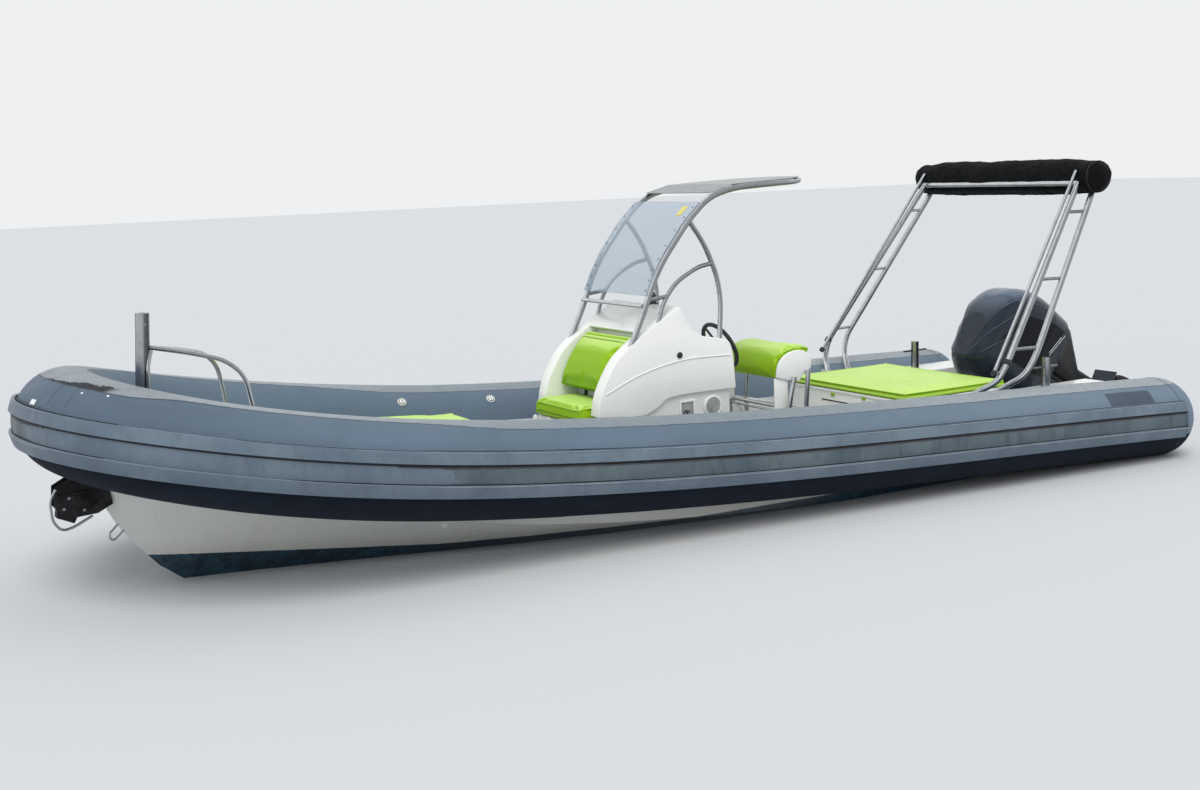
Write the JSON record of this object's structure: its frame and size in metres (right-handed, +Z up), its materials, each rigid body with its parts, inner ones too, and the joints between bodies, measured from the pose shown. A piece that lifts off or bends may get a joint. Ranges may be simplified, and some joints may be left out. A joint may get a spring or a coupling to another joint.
{
  "type": "rigid inflatable boat",
  "caption": "Rigid inflatable boat with centre console, screen frame and roof, front and aft seats, stern arch with folded canopy, and an outboard tilted up.",
  "frame": {"origin": "on the centreline at the transom's aft face, on the still water", "axes": "+X forward to the bow, +Y to port, +Z up from the water"},
  "size_m": [8.467, 2.8628, 2.4989],
  "materials": {
    "tube_fabric": "matt, faded grey coated fabric with lighter sun-bleached tops",
    "strake_rubber": "satin extruded rubber with black grooves",
    "gelcoat": "gloss gelcoat, blue antifouling at the waterline",
    "upholstery": "smooth marine vinyl with piped edges",
    "stainless": "polished stainless tube",
    "clear_sheet": "clear bent acrylic",
    "roof_laminate": "light grey laminate",
    "canopy_cloth": "black woven canvas boot",
    "cowl_paint": "dark blue-grey metallic gloss",
    "bracket_paint": "dark grey satin paint",
    "engine_iron": "plain block, hidden",
    "prop_alloy": "black painted alloy",
    "black_plastic": "satin moulded plastic",
    "weathered_steel": "dark weathered galvanised steel"
  },
  "bodies": {
    "boat": {"hull": "gelcoat", "tube_port": "tube_fabric", "tube_starboard": "tube_fabric", "tube_bow": "tube_fabric", "strake_port": "strake_rubber", "strake_starboard": "strake_rubber", "strake_bow": "strake_rubber", "quarter_port": "gelcoat", "quarter_starboard": "gelcoat", "stern_bollards": "stainless", "bow_bitt": "stainless", "bow_rail": "stainless", "bow_eye": "stainless", "bow_roller": "weathered_steel", "anchor": "weathered_steel", "roller_guard": "stainless", "console": "gelcoat", "front_seat_base": "gelcoat", "front_seat_cushion": "upholstery", "front_seat_back": "upholstery", "console_fittings": "black_plastic", "helm_boss": "black_plastic", "engine_control": "black_plastic", "screen_frame": "stainless", "screen_hoops": "stainless", "windscreen": "clear_sheet", "roof_plate": "roof_laminate", "helm_bolster": "upholstery", "seat_panels": "gelcoat", "seat_frame": "stainless", "aft_locker": "gelcoat", "bow_locker": "gelcoat", "stern_arch": "stainless", "bimini_stays": "stainless", "bimini_boot": "canopy_cloth", "clamp_bracket": "bracket_paint"},
    "bow_lid": {"bow_lid": "gelcoat", "bow_cushion": "upholstery"},
    "aft_lid": {"aft_lid": "gelcoat", "sun_pad": "upholstery"},
    "wheel": {"steering_wheel": "black_plastic"},
    "tilt": {"swivel_bracket": "bracket_paint"},
    "steer": {"midsection": "cowl_paint", "gearcase": "cowl_paint", "lower_cowl": "cowl_paint", "cowl": "cowl_paint", "engine_block": "engine_iron"},
    "prop": {"propeller": "prop_alloy"},
    "barrel": {"tilt_barrel": "bracket_paint"},
    "rod": {"tilt_rod": "stainless"}
  },
  "joints": [
    {"name": "outboard_tilt", "type": "hinge", "parent": "boat", "child": "tilt", "pos_m": [0.05, 0, 0.265], "axis": [0, 1, 0], "range_deg": [-61, 9]},
    {"name": "outboard_steering", "type": "hinge", "parent": "tilt", "child": "steer", "pos_m": [-0.04696, 0, 0.43992], "axis": [0.8746, 0, 0.4848], "range_deg": [-30, 30]},
    {"name": "propeller_spin", "type": "hinge", "parent": "steer", "child": "prop", "pos_m": [-0.98272, 0, 0.26137], "axis": [0.4848, 0, -0.8746], "continuous": true},
    {"name": "wheel_turn", "type": "hinge", "parent": "boat", "child": "wheel", "pos_m": [2.93, 0, 0.94], "axis": [0.9063, 0, -0.4226], "range_deg": [-180, 180]},
    {"name": "tilt_barrel_swing", "type": "hinge", "parent": "boat", "child": "barrel", "pos_m": [-0.07, 0, -0.02], "axis": [0, 1, 0], "range_deg": [-9.8, 2.5]},
    {"name": "tilt_rod_slide", "type": "slide", "parent": "barrel", "child": "rod", "axis": [0.1644, 0, 0.9864], "range_m": [-0.107, 0.02]},
    {"name": "aft_lid_hinge", "type": "hinge", "parent": "boat", "child": "aft_lid", "pos_m": [0.91, 0, 0.509], "axis": [0, -1, 0], "range_deg": [0, 75]},
    {"name": "bow_lid_hinge", "type": "hinge", "parent": "boat", "child": "bow_lid", "pos_m": [5.842, 0, 0.666], "axis": [0, 1, 0], "range_deg": [0, 75]}
  ],
  "couplings": [
    {"joint": "wheel_turn", "follows": "outboard_steering", "ratio": 6},
    {"joint": "tilt_barrel_swing", "follows": "outboard_tilt", "ratio": 0.15},
    {"joint": "tilt_rod_slide", "follows": "outboard_tilt", "m_per_rad": 0.098}
  ]
}
